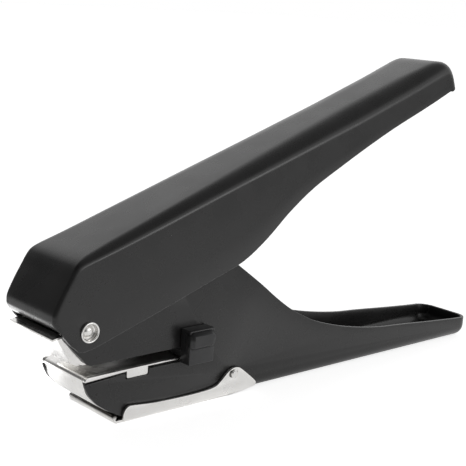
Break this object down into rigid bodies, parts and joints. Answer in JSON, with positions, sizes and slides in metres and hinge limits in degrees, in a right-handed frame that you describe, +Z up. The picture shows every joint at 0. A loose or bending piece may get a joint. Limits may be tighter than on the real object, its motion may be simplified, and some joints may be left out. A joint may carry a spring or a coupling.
{
  "type": "single hole punch",
  "caption": "Hand-held single hole punch with two long black pressed-steel handles, a bright guide bracket and die plate, a slide-on paper guide and a hinged chip tray.",
  "frame": {"origin": "on the flat underside of the lower handle's web, in the middle plane, halfway between the nose's front and the lower handle's rear end", "axes": "+X from the nose towards the rear ends of the handles, +Y across the punch away from the paper guide's knob, +Z up out of the lower handle's underside"},
  "size_m": [0.1954, 0.0326, 0.1076],
  "materials": {
    "black_lacquer": "semi-gloss black lacquer on pressed steel",
    "nickel": "bright nickel plate",
    "plain_steel": "turned or drawn steel",
    "black_plastic": "moulded black plastic, satin"
  },
  "bodies": {
    "frame": {"lower_frame": "black_lacquer", "pivot_rivet": "nickel", "pivot_sleeve": "plain_steel", "guide_bracket": "nickel", "bracket_pin": "plain_steel", "guide_bush": "plain_steel", "spring_seat_washer": "plain_steel", "return_spring": "plain_steel", "die_plate": "nickel", "die_bush": "plain_steel", "tray_hinge_peg_near": "nickel", "tray_hinge_peg_far": "nickel"},
    "handle": {"upper_handle": "black_lacquer", "press_bracket": "plain_steel", "press_pin": "plain_steel"},
    "punch": {"punch_pin": "plain_steel", "retaining_ring": "plain_steel", "pin_washer": "plain_steel"},
    "tray": {"chip_tray": "nickel"},
    "guide": {"paper_guide": "black_plastic"}
  },
  "joints": [
    {"name": "handle_hinge", "type": "hinge", "parent": "frame", "child": "handle", "pos_m": [-0.08615, 0, 0.031], "axis": [0, 1, 0], "range_deg": [0, 13], "stiffness_Nm_per_rad": 1.5, "springref_deg": -17.19},
    {"name": "punch_slide", "type": "slide", "parent": "frame", "child": "punch", "axis": [0, 0, -1], "range_m": [0, 0.0052], "deforming": ["return_spring"]},
    {"name": "tray_hinge", "type": "hinge", "parent": "frame", "child": "tray", "pos_m": [-0.02915, 0, 0.0078], "axis": [0, -1, 0], "range_deg": [0, 60]},
    {"name": "paper_guide_slide", "type": "slide", "parent": "frame", "child": "guide", "axis": [-1, 0, 0], "range_m": [0, 0.008]}
  ],
  "couplings": [
    {"joint": "punch_slide", "follows": "handle_hinge", "m_per_rad": 0.0225}
  ]
}
